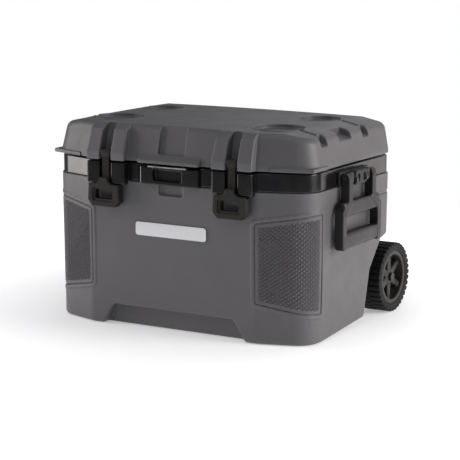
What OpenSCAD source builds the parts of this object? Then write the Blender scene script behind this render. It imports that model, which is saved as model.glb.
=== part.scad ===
// Wheeled cooler: insulated tub and hinged lid, rubber latches, swing side handles,
// a telescoping tow handle and two spoked wheels on a steel axle. Millimetres, +Z up, front at -Y.

/* [Tub] */
// Width of the tub
body_w = 620; // [600:2:640]
// Depth of the tub, front face to back face
body_d = 396; // [390:1:402]
// Height of the grey tub shell, up to the dark rim band
shell_top = 311; // [308:1:314]
// Thickness of the moulded outer walls
wall = 4; // [3:0.5:5]
// Distance from the centre at which the front starts to turn back towards the corners
facet_x = 200; // [190:1:206]
// How far the front corners are set back from the front face
facet_back = 35; // [30:1:38]
// Radius of the tub's upright rear corners
corner_r = 28; // [20:1:32]
// Radius of the tub's upright front corners
front_r = 55; // [50:1:58]
// Inset of each side wall at the floor
draft = 2.5; // [1:0.5:4]
// Height of the cut-out between the front feet
arch_h = 45; // [38:1:50]

/* [Rim band and lid] */
// Top of the rim band
band_top = 349; // [347:1:350]
// How far the band sits back from the tub's outer face
band_inset = 3; // [2:0.5:4]
// Underside of the lid's rim
lid_bottom = 353; // [352:0.5:354]
// Top of the lid
lid_top = 430; // [426:1:434]
// Lean of the lid's walls from rim to top
lid_lean = 14; // [10:1:18]
// Radius of the cup recesses
cup_r = 46; // [42:1:48]
// Depth of the cup recesses
cup_depth = 12; // [8:1:14]
// Height of the lid's hinge axis
hinge_z = 349.5; // [349:0.5:351]

/* [Latches] */
// Distance of each latch from the centre
latch_x = 151; // [148:1:154]
// Height of the latch pivot
latch_z = 368; // [366:1:370]
// Width of the pull loop
pull_w = 78; // [70:1:84]
// Height of the pull loop's lower edge
pull_z = 256; // [252:1:258]

/* [Side handles] */
// Height of the handle pivot
handle_z = 329; // [326:1:331]
// Centre of the handles along the sides
handle_y = 8; // [0:1:12]
// Reach of the handles beyond the middle of the tub
handle_reach = 335; // [332:1:338]

/* [Wheels] */
// Radius of the tyre
wheel_r = 75.5; // [72:0.5:78]
// Width of the tyre
wheel_w = 58; // [52:1:60]
// Distance of the axle behind the middle of the tub
axle_y = 220; // [216:1:224]
// Radius of the axle
axle_r = 6; // [5:0.5:7]

/* [Tow handle] */
// Distance of each tow tube from the centre
tow_x = 72; // [60:1:90]
// Outer radius of the fixed sleeve
sleeve_r = 10.8; // [10.4:0.1:11.2]

/* [Hidden] */
$fn = 64;
gap = 0.3;                         // clearance between pieces that move past each other
front = -body_d / 2;
back = body_d / 2;
half_w = body_w / 2;
facet_a = atan2(facet_back, half_w - facet_x);
boss_y = front - 15;               // front plane of the latch blocks
pull_y = boss_y - 8;               // front plane of the latch pulls
latch_y = front - 6;               // latch pivot
latch_pin_r = 3;
tyre_back = axle_y + wheel_r;
// the whole is shifted so that the origin is below the middle of its outer box
shift_y = -(pull_y + tyre_back) / 2;

// cavity for food and ice
cav_x = 262;
cav_y = 152;
cav_floor = 66;
liner_t = 3;
// the liner steps in over the wheels
step_x = 218;
step_y = 52;
step_z = 206;

// wheel well: the tub's rear lower corners are cut along this side profile
well = [[67, -1], [100, 114], [150, 172], [183, 180], [190, 186]];
well_x = 240;
foot_h = 2;                        // thickness of the front feet

// outline helper: each corner of pts is replaced by an arc of its own radius
function unit(v) = v / norm(v);
function fillet(a, p, b, r, n = 6) =
    let (u = unit(a - p), v = unit(b - p), half = acos(u * v) / 2)
    r == 0 ? [p] :
    let (c = p + unit(u + v) * r / sin(half), t0 = p + u * r / tan(half) - c,
         t1 = p + v * r / tan(half) - c, a0 = atan2(t0[1], t0[0]),
         turn = let (d = atan2(t1[1], t1[0]) - a0) d > 180 ? d - 360 : d < -180 ? d + 360 : d)
    [for (k = [0:n]) c + r * [cos(a0 + turn * k / n), sin(a0 + turn * k / n)]];
function rounded(pts, radii, n = 6) =
    let (m = len(pts))
    [for (i = [0:m - 1]) each fillet(pts[(i + m - 1) % m], pts[i], pts[(i + 1) % m], radii[i], n)];

// plan outline of the tub, moved in by i all round
function plan_points(i) = [
    [-facet_x + i * tan(facet_a / 2), front + i], [facet_x - i * tan(facet_a / 2), front + i],
    [half_w - i, front + facet_back + i * (1 - sin(facet_a)) / cos(facet_a)],
    [half_w - i, back - i], [-half_w + i, back - i],
    [-half_w + i, front + facet_back + i * (1 - sin(facet_a)) / cos(facet_a)]
];
module plan(i) {
    polygon(rounded(plan_points(i), [front_r, front_r, front_r - i, corner_r - i, corner_r - i, front_r - i]));
}
module slab(i, z0, z1) { translate([0, 0, z0]) linear_extrude(z1 - z0) plan(i); }
module block(x0, x1, y0, y1, z0, z1) { translate([x0, y0, z0]) cube([x1 - x0, y1 - y0, z1 - z0]); }
// extrude an outline given in (y, z) along X, or in (x, z) along Y
module along_x(x0, x1) {
    translate([x0, 0, 0]) rotate([90, 0, 90]) linear_extrude(x1 - x0) children();
}
module along_y(y0, y1) {
    translate([0, y1, 0]) rotate([90, 0, 0]) linear_extrude(y1 - y0) children();
}
module rod_x(x0, x1, y, z, r) { translate([x0, y, z]) rotate([0, 90, 0]) cylinder(h = x1 - x0, r = r); }
module rod_y(y0, y1, x, z, r) { translate([x, y0, z]) rotate([-90, 0, 0]) cylinder(h = y1 - y0, r = r); }
module pair() { children(); mirror([1, 0, 0]) children(); }
module side(s) { if (s > 0) children(); else mirror([1, 0, 0]) children(); }
module place() { translate([0, shift_y, 0]) children(); }

// ---------------------------------------------------------------- tub
// the tub's outer form moved in by i; top is its upper end
module tub_form(i, top) {
    difference() {
        intersection() {
            slab(i, -1, top);
            along_y(front - 20, back + 60) polygon([
                [-half_w + draft + i, i], [half_w - draft - i, i],
                [half_w - i, shell_top], [half_w - i, top], [-half_w + i, top], [-half_w + i, shell_top]
            ]);
            along_x(-half_w, half_w) polygon([
                [front + i, i + 1], [-110, i + 1], [back - i, i + 24], [back - i, top], [front + i, top]
            ]);
        }
        // wheel wells
        pair() along_x(well_x - i, half_w + 10) polygon(concat(
            [for (p = well) [p[0] - i, p[1] + i]], [[back + 20, well[4][1] + i], [back + 20, -1]]));
        // cut-out between the front feet
        along_y(front - 20, front + 26 + i) polygon([
            [-176 - i, -1], [176 + i, -1], [148 + i, arch_h + i], [-148 - i, arch_h + i]]);
    }
}
module liner_form(i, top) {
    module box(x, y0, y1, z0) {
        translate([0, 0, z0]) linear_extrude(top - z0) polygon(rounded(
            [[-x, y0], [x, y0], [x, y1], [-x, y1]], [24 - i, 24 - i, 24 - i, 24 - i]));
    }
    box(cav_x - i, -cav_y + i, step_y - i, cav_floor + i);
    box(step_x - i, -cav_y + i, cav_y - i, cav_floor + i);
    box(cav_x - i, -cav_y + i, cav_y - i, step_z + i);
}
// raised housings that carry the axle behind the back wall
module axle_housing() {
    difference() {
        pair() along_x(182, well_x) polygon(rounded(
            [[back - 2, 48], [axle_y + 4, 48], [axle_y + 20, 62], [axle_y + 20, 92], [back - 2, 128]],
            [0, 10, 14, 14, 0]));
        rod_x(-well_x - 1, well_x + 1, axle_y, wheel_r, axle_r + 0.05);
    }
}
module tub_shell() {
    color("#5b5c61") place() {
        difference() {
            union() {
                difference() {
                    tub_form(0, shell_top);
                    tub_form(wall, shell_top + 1);
                    // groove round the back and sides below the band
                    groove();
                    feet();
                }
                axle_housing();
            }
            drain_bore(12);
        }
    }
}
module groove() {
    difference() {
        slab(-1, 268, 275);
        slab(1.5, 267, 276);
        block(-half_w - 5, half_w + 5, front - 5, 90, 260, 280);
    }
}
module feet() { pair() block(205, 285, front + 45, front + 80, 0, foot_h); }
module front_feet() { color("#1c1c1c") place() feet(); }
module tub_foam() {
    color("#d8d2b0") place() difference() {
        tub_form(wall, band_top - wall);
        liner_form(0, band_top + 1);
        drain_bore(12);
        band_skirt();
    }
}
// the band's wall passes outside the foam above the shell
module band_skirt() {
    difference() {
        slab(-5, shell_top, band_top + 1);
        slab(band_inset + wall, shell_top - 1, band_top + 2);
    }
}
module tub_liner() {
    color("#c9ccd0") place() difference() {
        liner_form(0, band_top);
        liner_form(liner_t, band_top + 1);
        drain_bore(9);
    }
}
drain_y = -40;
drain_z = cav_floor + 17;
module drain_bore(r) { rod_x(-half_w - 5, -cav_x + 10, drain_y, drain_z, r); }
module drain_gasket() {
    color("#202020") place() difference() {
        rod_x(-half_w - 2, -half_w + 1.9, drain_y, drain_z, 11.9);
        rod_x(-half_w - 3, -half_w + 3, drain_y, drain_z, 9.1);
    }
}
module drain_plug() {
    color("#222324") place() {
        rod_x(-half_w - 12, -half_w - 2.3, drain_y, drain_z, 17);
        rod_x(-half_w - 2.4, -cav_x - 4, drain_y, drain_z, 8.8);
        for (a = [0:45:315]) translate([-half_w - 12, drain_y, drain_z]) rotate([a, 0, 0])
            block(0, 9, -2.5, 2.5, 15, 19);
    }
}

// ---------------------------------------------------------------- rim band
slot_half = 14;                    // half the width of a latch slot
block_half = 47;                   // half the width of a latch block
module latch_slot(depth) {
    for (s = [-1, 1]) block(s * latch_x - slot_half, s * latch_x + slot_half, front - 30, front + depth,
        shell_top - 12, band_top + 1);
}
module latch_blocks(z0, z1) {
    for (s = [-1, 1]) along_y(boss_y, front) translate([s * latch_x, 0]) polygon(rounded(
        [[-block_half, z0], [block_half, z0], [block_half, z1], [-block_half, z1]], [3, 3, 3, 3], 3));
}
module rim_band() {
    color("#17181a") place() difference() {
        union() {
            difference() {
                slab(band_inset, shell_top, band_top);
                slab(band_inset + wall, shell_top - 1, band_top - wall);
                block(-cav_x, cav_x, -cav_y, cav_y, shell_top, band_top + 1); // mouth of the liner
            }
            difference() {
                latch_blocks(302, band_top);
                latch_slot(-0.5);
            }
            // middle block, with the finger pocket under the lid's lip
            difference() {
                along_x(-72, 72) polygon([
                    [front + band_inset + 1, shell_top], [front - 4, shell_top], [front - 12, shell_top + 8],
                    [front - 12, band_top - 3], [front + band_inset + 1, band_top - 3]]);
                block(-33, 33, front - 20, front - 1, 318, 343);
            }
        }
        block(-plate_w / 2, plate_w / 2, front - 20, front - 2, band_top - 3, band_top + 1);
        pair() rod_x(half_w - 20, half_w + 1, handle_y - 22, 322, 2);
        pair() rod_x(half_w - 20, half_w + 1, handle_y + 22, 322, 2);
    }
}
plate_w = 92;
badge_w = 170;
badge_h = 28;
badge_z = 214;
module lock_plate() {
    color("silver") place() difference() {
        block(-plate_w / 2, plate_w / 2, front - 15, front - 2, band_top - 3, band_top - 0.5);
        for (s = [-1, 1]) translate([s * 34, front - 9, band_top - 4]) cylinder(h = 6, r = 4);
    }
}
module badge() {
    color("#c8cacc") place() along_y(front - 1.6, front) translate([0, badge_z]) polygon(rounded(
        [[-badge_w, -badge_h], [badge_w, -badge_h], [badge_w, badge_h], [-badge_w, badge_h]] / 2,
        [6, 6, 6, 6]));
}

// ---------------------------------------------------------------- lid
// the lid's outer form moved in by i: plan outline, leaning walls and a chamfered top edge
module lid_form(i, z0, z1) {
    lean = lid_lean;
    intersection() {
        slab(i, z0, z1);
        along_y(front - 5, back + 5) polygon([
            [-half_w + i, z0], [half_w - i, z0], [half_w - i, 360], [half_w - lean - i, lid_top - 10 - i],
            [half_w - lean - 9 - i, lid_top - i], [-half_w + lean + 9 + i, lid_top - i],
            [-half_w + lean + i, lid_top - 10 - i], [-half_w + i, 360]]);
        along_x(-half_w, half_w) polygon([
            [front + i, z0], [back - i, z0], [back - i, 360], [back - lean - i, lid_top - 10 - i],
            [back - lean - 9 - i, lid_top - i], [front + lean + 9 + i, lid_top - i],
            [front + lean + i, lid_top - 10 - i], [front + i, 360]]);
    }
}
module lid_bosses() {
    for (s = [-1, 1]) intersection() {
        along_y(boss_y, front + 30) translate([s * latch_x, 0]) polygon(rounded(
            [[-block_half, lid_bottom], [block_half, lid_bottom], [block_half, lid_top - 10],
             [-block_half, lid_top - 10]], [2, 2, 8, 8], 3));
        along_x(-half_w, half_w) polygon([
            [boss_y, lid_bottom], [front + 30, lid_bottom], [front + 30, lid_top - 4], [front + 12, lid_top - 4],
            [front - 4, 412], [boss_y, 366]]);
    }
}
// sharp-cornered ledge that stands out below the lid's two front corners
module corner_ledges() {
    translate([0, 0, lid_bottom]) linear_extrude(7) intersection() {
        polygon(plan_points(-3));
        for (s = [-1, 1]) translate([s * 280, front + 50]) square([106, 104], center = true);
    }
}
cup_y = [-92, 82];
cup_x = 188;
module cups(r, z0, z1) {
    for (s = [-1, 1], y = cup_y) translate([s * cup_x, y, z0]) cylinder(h = z1 - z0, r = r);
}
module lid_shell() {
    color("#5d5f64") place() difference() {
        union() {
            difference() {
                union() {
                    lid_form(0, lid_bottom, lid_top);
                    corner_ledges();
                    lid_bosses();
                }
                difference() {
                    lid_form(wall, lid_bottom - 1, lid_top);
                    cups(cup_r + 3, lid_top - cup_depth - 3, lid_top);
                    lid_slot_cheeks();
                }
                cups(cup_r, lid_top - cup_depth, lid_top + 1);
                // central recess in the front wall
                along_x(-31, 31) polygon([[front - 1, 371], [front + 3, 371], [front + 18, lid_top + 1],
                    [front - 1, lid_top + 1]]);
            }
            // lift lip
            along_x(-72, 72) polygon([
                [front, lid_bottom], [front - 13, lid_bottom], [front - 13, 358], [front - 8, 362], [front + 2, 362]]);
        }
        lid_slots();
        for (s = [-1, 1]) rod_x(s * latch_x - 24, s * latch_x + 24, latch_y, latch_z, latch_pin_r);
    }
}
// backing of the latch slots inside the front wall
module lid_slot_cheeks() {
    for (s = [-1, 1]) block(s * latch_x - slot_half - 4, s * latch_x + slot_half + 4, front,
        front + 12, lid_bottom - 2, lid_top);
}
module lid_slots() {
    for (s = [-1, 1]) block(s * latch_x - slot_half, s * latch_x + slot_half, front - 30, front + 7,
        lid_bottom - 1, lid_top + 1);
}
module lid_foam() {
    color("#d8d2b0") place() difference() {
        lid_form(wall, lid_bottom + 4, lid_top);
        cups(cup_r + 3, lid_top - cup_depth - 3, lid_top);
        lid_slot_cheeks();
    }
}
module lid_liner() {
    color("#c9ccd0") place() {
        difference() {
            lid_form(wall, lid_bottom, lid_bottom + 4);
            lid_slot_cheeks();
        }
        difference() {
            translate([0, 0, 337]) linear_extrude(lid_bottom - 337) plug_outline(0);
            translate([0, 0, 336]) linear_extrude(lid_bottom - 336 - 3) plug_outline(6);
        }
    }
}
module plug_outline(i) {
    x = cav_x - liner_t - 8 - i;
    y = cav_y - liner_t - 8 - i;
    polygon(rounded([[-x, -y], [x, -y], [x, y], [-x, y]], [18 - i, 18 - i, 18 - i, 18 - i]));
}
module lid_gasket() {
    x = cav_x + 14;
    y = cav_y + 12;
    color("#3a3b3d") place() translate([0, 0, band_top + gap]) linear_extrude(lid_bottom - band_top - gap)
        difference() {
            polygon(rounded([[-x, -y], [x, -y], [x, y], [-x, y]], [26, 26, 26, 26]));
            polygon(rounded([[-x + 8, -y + 8], [x - 8, -y + 8], [x - 8, y - 8], [-x + 8, y - 8]], [18, 18, 18, 18]));
        }
}

// ---------------------------------------------------------------- latches
module latch(s) {
    color("#35352f") place() side(s) translate([latch_x, 0, 0]) difference() {
        union() {
            // head around the pivot, neck in the slot, pull loop below the blocks
            rod_x(-11, 11, latch_y, latch_z, 6);
            block(-8.5, 8.5, front - 12, front - 2, 306, latch_z);
            along_y(pull_y, boss_y - 0.6) polygon(rounded(
                [[-9, 314], [9, 314], [14, 304], [pull_w / 2, 302], [pull_w / 2, 268], [-pull_w / 2, 268],
                 [-pull_w / 2, 302], [-14, 304]], [3, 3, 4, 4, 0, 0, 4, 4], 3));
            // the loop itself is deeper, below the blocks
            along_y(pull_y, front - 5) polygon(rounded(
                [[pull_w / 2, 297], [pull_w / 2, 266], [pull_w / 2 - 11, pull_z], [-pull_w / 2 + 11, pull_z],
                 [-pull_w / 2, 266], [-pull_w / 2, 297]], [1, 5, 5, 5, 5, 1], 3));
            block(-8.5, 8.5, boss_y - 1, front - 6, 306, 314);
        }
        along_y(pull_y - 1, front) polygon(rounded(
            [[-21, 271], [21, 271], [23, 292], [-23, 292]], [4, 4, 4, 4], 3));
        rod_x(-12, 12, latch_y, latch_z, latch_pin_r + 0.06);
    }
}
module latch_pin(s) {
    color("silver") place() side(s) rod_x(latch_x - 23, latch_x + 23, latch_y, latch_z, latch_pin_r);
}

// ---------------------------------------------------------------- side handles
handle_x = half_w + 14;            // pivot, clear of the side wall
arm_t = 17;                        // width of an arm along the side
handle_pin_r = 3.5;
bar_z = [195, 210];                // the grip bar is as tall as two rods, one above the other
bar_r = 10;
module side_handle(s) {
    top_y = 62;
    low_y = 88;
    color("#1d1c1b") place() side(s) translate([0, handle_y, 0]) difference() {
        union() {
            for (m = [-1, 1]) {
                // arm: straight from the pivot, then out to the wider grip
                along_x(half_w + 5, handle_reach) polygon([
                    [m * (top_y - arm_t), handle_z], [m * top_y, handle_z], [m * top_y, 281],
                    [m * low_y, 262], [m * low_y, bar_z[0]], [m * (low_y - arm_t), bar_z[0]],
                    [m * (low_y - arm_t), 256],
                    [m * (top_y - arm_t), 276]]);
                rod_y(min(m * top_y, m * (top_y - arm_t)), max(m * top_y, m * (top_y - arm_t)),
                      handle_x, handle_z, 9);
            }
            block(half_w + 9, handle_reach - 2, -low_y + arm_t - 8, low_y - arm_t + 8, 252, 283);
            for (z = bar_z) rod_y(-low_y, low_y, half_w + 15, z, bar_r);
            block(half_w + 5, half_w + 15 + bar_r, -low_y, low_y, bar_z[0], bar_z[1]);
        }
        // the arms are rounded over the pivot, and the pin runs through them
        rod_y(-top_y - 1, top_y + 1, handle_x, handle_z, handle_pin_r + 0.06);
        block(half_w, half_w + 5, -100, 100, 150, 400);
        for (m = [-1, 1]) block(handle_reach - 8, handle_reach + 1, -100, 100, handle_z + 6, 400);
    }
}
module handle_bracket(s) {
    color("#151517") place() side(s) translate([0, handle_y, 0]) difference() {
        union() {
            block(half_w - band_inset, half_w + 4.5, -64, 64, 313, 341);
            block(half_w + 4.4, handle_reach - 3, -25, 25, 312, 341);
            for (m = [-1, 1]) block(half_w + 4.4, handle_x + 6, m * 36.5 - 7, m * 36.5 + 7, 318, 340);
        }
        rod_y(-50, 50, handle_x, handle_z, handle_pin_r);
        // pockets for the turning arms
        for (m = [-1, 1]) rod_y(m * 53.5 - 9.2, m * 53.5 + 9.2, handle_x, handle_z, 9.6);
        for (m = [-1, 1]) rod_x(half_w - 10, handle_reach, m * 22, 322, 2);
    }
}
module handle_pin(s) {
    color("silver") place() side(s) rod_y(handle_y - 61, handle_y + 61, handle_x, handle_z, handle_pin_r);
}
module handle_screws() {
    color("silver") place() pair() for (m = [-1, 1]) {
        rod_x(half_w - 7, handle_reach - 3, handle_y + m * 22, 322, 2);
        rod_x(handle_reach - 3, handle_reach - 1, handle_y + m * 22, 322, 4.5);
    }
}

// ---------------------------------------------------------------- rear hinges
hinge_y = back + 11.5;
hinge_x = 190;
hinge_pin_r = 3;
module hinge_tub_leaf(s) {
    color("#17181a") place() side(s) translate([hinge_x, 0, 0]) difference() {
        union() {
            along_x(-34, 34) polygon([
                [back, 296], [back + 4, 296], [back + 4, 338], [back, 338]]);
            along_x(-16, 16) polygon([
                [back, 320], [back + 4, 320], [hinge_y + 6.5, hinge_z - 3], [hinge_y - 4, hinge_z - 3],
                [back + 1, 338], [back, 338]]);
            rod_x(-16, 16, hinge_y, hinge_z, 7);
        }
        rod_x(-17, 17, hinge_y, hinge_z, hinge_pin_r + 0.06);
        for (m = [-1, 1]) rod_y(back - 1, back + 5, m * 25, 308, 2.5);
    }
}
module hinge_lid_leaf(s) {
    color("#17181a") place() side(s) translate([hinge_x, 0, 0]) difference() {
        union() {
            for (m = [-1, 1]) translate([m * 26, 0, 0]) {
                rod_x(-9.5, 9.5, hinge_y, hinge_z, 7);
                along_x(-9.5, 9.5) polygon([
                    [hinge_y - 5, hinge_z], [hinge_y + 7, hinge_z], [hinge_y + 3, 362], [back + 4, 372],
                    [back + 3, 361]]);
            }
            intersection() {
                along_x(-35.5, 35.5) polygon([
                    [back + 3, 360.5], [back + 8, 362], [back - 4, 404], [back - lid_lean, 404]]);
                difference() {
                    block(-40, 40, back - 20, back + 20, 360.5, 410);
                    translate([-hinge_x, 0, 0]) lid_form(0, lid_bottom, lid_top);
                }
            }
        }
        rod_x(-36, 36, hinge_y, hinge_z, hinge_pin_r);
        for (m = [-1, 1]) rod_y(back - 10, back + 9, m * 26, 386, 2.5);
    }
}
module hinge_pin(s) {
    color("silver") place() side(s) rod_x(hinge_x - 35.5, hinge_x + 35.5, hinge_y, hinge_z, hinge_pin_r);
}
module hinge_screws_tub() {
    color("silver") place() pair() for (m = [-1, 1]) {
        rod_y(back, back + 4, hinge_x + m * 25, 308, 2.5);
        rod_y(back + 4, back + 6, hinge_x + m * 25, 308, 5);
    }
}
module hinge_screws_lid() {
    color("silver") place() pair() for (m = [-1, 1]) difference() {
        rod_y(back - 8, back + 3, hinge_x + m * 26, 386, 2.5);
        lid_form(0, lid_bottom, lid_top);
    }
}

// ---------------------------------------------------------------- axle and wheels
wheel_x1 = half_w - 1;             // outer face of the tyre
wheel_x0 = wheel_x1 - wheel_w;     // inner face of the tyre
tyre_in = 56;                      // radius where the tyre sits on the rim
tyre_band = wheel_r - tyre_in;
tread_n = 28;
spokes = 6;
hub_z0 = 3.3;
hub_w = wheel_w - 18.6;
bush_r = 9;
module axle() {
    color("silver") place() rod_x(-wheel_x1 + 8, wheel_x1 - 8, axle_y, wheel_r, axle_r);
}
module axle_washers() {
    color("silver") place() pair() difference() {
        rod_x(well_x + gap, wheel_x0 + 3, axle_y, wheel_r, 11);
        rod_x(well_x, wheel_x0 + 4, axle_y, wheel_r, axle_r);
    }
}
module axle_cap(s) {
    color("#101010") place() side(s) difference() {
        rod_x(wheel_x1 - 15, wheel_x1 - 4, axle_y, wheel_r, 9);
        rod_x(wheel_x1 - 16, wheel_x1 - 8, axle_y, wheel_r, axle_r);
    }
}
module at_wheel(s) {
    place() side(s) translate([wheel_x0, axle_y, wheel_r]) rotate([0, 90, 0]) children();
}
module tyre(s) {
    color("#161616") at_wheel(s) {
        rotate_extrude($fn = 96) translate([tyre_in, 0]) polygon(rounded(
            [[0, 4], [6, 0], [tyre_band - 4, 0], [tyre_band - 3, 4], [tyre_band - 3, wheel_w - 4],
             [tyre_band - 4, wheel_w], [6, wheel_w], [0, wheel_w - 4]],
            [1, 2, 1, 1, 1, 1, 2, 1], 3));
        // tread blocks, staggered in two rows
        intersection() {
            for (k = [0:tread_n - 1]) rotate([0, 0, k * 360 / tread_n])
                translate([wheel_r - 6, -5.5, (k % 2) * wheel_w / 2 + 1]) cube([10, 11, wheel_w / 2 - 2]);
            cylinder(h = wheel_w, r = wheel_r, $fn = 96);
        }
    }
}
module wheel_rim(s) {
    color("#3a3836") at_wheel(s) difference() {
        union() {
            difference() {
                translate([0, 0, 4]) cylinder(h = wheel_w - 8, r = tyre_in, $fn = 96);
                translate([0, 0, 3]) cylinder(h = wheel_w - 6, r = tyre_in - 6, $fn = 96);
            }
            for (k = [0:spokes - 1]) rotate([0, 0, 360 / spokes * (k + 0.5)])
                translate([10, -6, wheel_w - 26]) cube([tyre_in - 14, 12, 14]);
            translate([0, 0, hub_z0]) cylinder(h = hub_w, r = 16);
        }
        translate([0, 0, -1]) cylinder(h = wheel_w + 2, r = bush_r);
    }
}
module wheel_bush(s) {
    color("#d8d8d0") at_wheel(s) difference() {
        translate([0, 0, hub_z0]) cylinder(h = hub_w, r = bush_r);
        cylinder(h = wheel_w, r = axle_r + 0.06);
    }
}

// ---------------------------------------------------------------- tow handle
tow_y = back + sleeve_r + 0.4;
tow_z0 = 96;
tow_z1 = 318;
mid_r = sleeve_r - 1.6;
inner_r = mid_r - 1.6;
module tube(z0, z1, r, bore) {
    translate([tow_x, tow_y, z0]) difference() {
        cylinder(h = z1 - z0, r = r);
        translate([0, 0, -1]) cylinder(h = z1 - z0 + 2, r = bore);
    }
}
module tow_sleeve(s) { color("silver") place() side(s) tube(tow_z0, tow_z1, sleeve_r, mid_r + 0.08); }
module tow_tube_mid(s) { color("silver") place() side(s) tube(tow_z0 + 4, tow_z1 + 3, mid_r, inner_r + 0.08); }
module tow_tube_inner(s) { color("silver") place() side(s) tube(tow_z0 + 8, tow_z1 + 6, inner_r, inner_r - 1.5); }
module tow_bracket(z0, z1, depth) {
    color("#17181a") place() difference() {
        translate([0, 0, z0]) linear_extrude(z1 - z0) polygon(rounded(
            [[-tow_x - 20, back], [-tow_x - 20, back + depth], [tow_x + 20, back + depth], [tow_x + 20, back]],
            [0, 8, 8, 0]));
        pair() translate([tow_x, tow_y, z0 - 1]) cylinder(h = z1 - z0 + 2, r = sleeve_r);
        for (m = [-1, 1]) rod_y(back - 1, back + depth + 1, m * 30, (z0 + z1) / 2, 2.5);
    }
}
module tow_bracket_top() { tow_bracket(288, 312, 24); }
module tow_bracket_bottom() { tow_bracket(tow_z0, tow_z0 + 20, 24); }
module tow_screws() {
    color("silver") place() for (m = [-1, 1], z = [300, tow_z0 + 10]) {
        rod_y(back, back + 24, m * 30, z, 2.5);
        rod_y(back + 24, back + 26, m * 30, z, 5);
    }
}
module tow_grip() {
    color("#17181a") place() difference() {
        along_x(-tow_x - 14, tow_x + 14) polygon(rounded(
            [[back + 1, tow_z1 + 6], [back + 22, tow_z1 + 6], [back + 24, tow_z1 + 25], [back + 1, tow_z1 + 25]],
            [3, 6, 6, 3], 4));
        block(-15, 15, tow_y - 7, tow_y + 7, tow_z1 + 18, tow_z1 + 30);
    }
}
module tow_button() {
    color("#8a1f1a") place() block(-14.6, 14.6, tow_y - 6.6, tow_y + 6.6, tow_z1 + 21.5, tow_z1 + 28);
}

tub_shell();
tub_foam();
tub_liner();
rim_band();
lock_plate();
badge();
front_feet();
drain_gasket();
drain_plug();
lid_shell();
lid_foam();
lid_liner();
lid_gasket();
latch(-1);  // latch_left
latch(1);  // latch_right
latch_pin(-1);  // latch_pin_left
latch_pin(1);  // latch_pin_right
side_handle(-1);  // side_handle_left
side_handle(1);  // side_handle_right
handle_bracket(-1);  // handle_bracket_left
handle_bracket(1);  // handle_bracket_right
handle_pin(-1);  // handle_pin_left
handle_pin(1);  // handle_pin_right
handle_screws();
hinge_tub_leaf(-1);  // hinge_tub_leaf_left
hinge_tub_leaf(1);  // hinge_tub_leaf_right
hinge_lid_leaf(-1);  // hinge_lid_leaf_left
hinge_lid_leaf(1);  // hinge_lid_leaf_right
hinge_pin(-1);  // hinge_pin_left
hinge_pin(1);  // hinge_pin_right
hinge_screws_tub();
hinge_screws_lid();
axle();
axle_washers();
axle_cap(-1);  // axle_cap_left
axle_cap(1);  // axle_cap_right
tyre(-1);  // tyre_left
tyre(1);  // tyre_right
wheel_rim(-1);  // wheel_rim_left
wheel_rim(1);  // wheel_rim_right
wheel_bush(-1);  // wheel_bush_left
wheel_bush(1);  // wheel_bush_right
tow_sleeve(-1);  // tow_sleeve_left
tow_sleeve(1);  // tow_sleeve_right
tow_bracket_top();
tow_bracket_bottom();
tow_screws();
tow_tube_mid(-1);  // tow_tube_mid_left
tow_tube_mid(1);  // tow_tube_mid_right
tow_tube_inner(-1);  // tow_tube_inner_left
tow_tube_inner(1);  // tow_tube_inner_right
tow_grip();
tow_button();
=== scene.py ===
"""Wheeled cooler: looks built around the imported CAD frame.

Lengths in the shape code are millimetres, with x across the front, y from front to back and z up,
measured from the floor below the middle of the tub. place() turns them into the frame's metres. Each
moulded piece is a distance function, negative inside, that moulded() turns into a mesh."""
import math
from concurrent.futures import ThreadPoolExecutor

import bpy
import numpy as np
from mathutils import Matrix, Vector


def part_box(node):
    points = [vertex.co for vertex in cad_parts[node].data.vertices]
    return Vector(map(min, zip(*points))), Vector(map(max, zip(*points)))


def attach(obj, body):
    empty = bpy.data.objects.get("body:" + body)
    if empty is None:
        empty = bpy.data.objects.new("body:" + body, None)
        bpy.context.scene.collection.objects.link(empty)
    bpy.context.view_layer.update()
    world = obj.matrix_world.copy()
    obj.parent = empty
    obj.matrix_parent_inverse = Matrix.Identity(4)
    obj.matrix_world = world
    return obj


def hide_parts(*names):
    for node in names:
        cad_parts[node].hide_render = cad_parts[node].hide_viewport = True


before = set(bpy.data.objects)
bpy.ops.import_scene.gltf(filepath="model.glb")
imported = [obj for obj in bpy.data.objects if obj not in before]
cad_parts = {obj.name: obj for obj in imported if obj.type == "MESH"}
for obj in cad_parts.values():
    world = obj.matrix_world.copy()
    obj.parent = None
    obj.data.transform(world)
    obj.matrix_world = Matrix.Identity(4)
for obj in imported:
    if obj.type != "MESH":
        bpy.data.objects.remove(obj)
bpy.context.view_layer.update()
scene = bpy.context.scene
MM = 0.001


# ---------------------------------------------------------------- places taken from the frame
def node_box(name):
    lo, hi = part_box(name)
    return np.array(lo) / MM, np.array(hi) / MM


band_lo, band_hi = node_box("rim_band")
foam_lo, foam_hi = node_box("tub_foam")
liner_lo, liner_hi = node_box("tub_liner")
WALL = 4.0
MID_Y = (foam_lo[1] + foam_hi[1]) / 2
HALF_W = foam_hi[0] + WALL
FRONT = foam_lo[1] - WALL - MID_Y
BACK = -FRONT
SHELL_TOP = node_box("tub_shell")[1][2]
BAND_TOP = band_hi[2]
lid_lo, lid_hi = node_box("lid_shell")
LID_BOTTOM, LID_TOP = lid_lo[2], lid_hi[2]
BOSS_Y = band_lo[1] - MID_Y
MOUTH_X, MOUTH_Y = liner_hi[0], liner_hi[1] - MID_Y
STEP_FLOOR = liner_lo[2] - 0.5
STEP_X, STEP_Y, STEP_Z = MOUTH_X - 43.5, 52.5, 205.5  # where the liner steps in over the wheels
latch_lo, latch_hi = node_box("latch_right")
LATCH_X = (latch_lo[0] + latch_hi[0]) / 2
pin_lo, pin_hi = node_box("latch_pin_right")
LATCH_Y = (pin_lo[1] + pin_hi[1]) / 2 - MID_Y
LATCH_Z = (pin_lo[2] + pin_hi[2]) / 2
PULL_Y = latch_lo[1] - MID_Y
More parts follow.
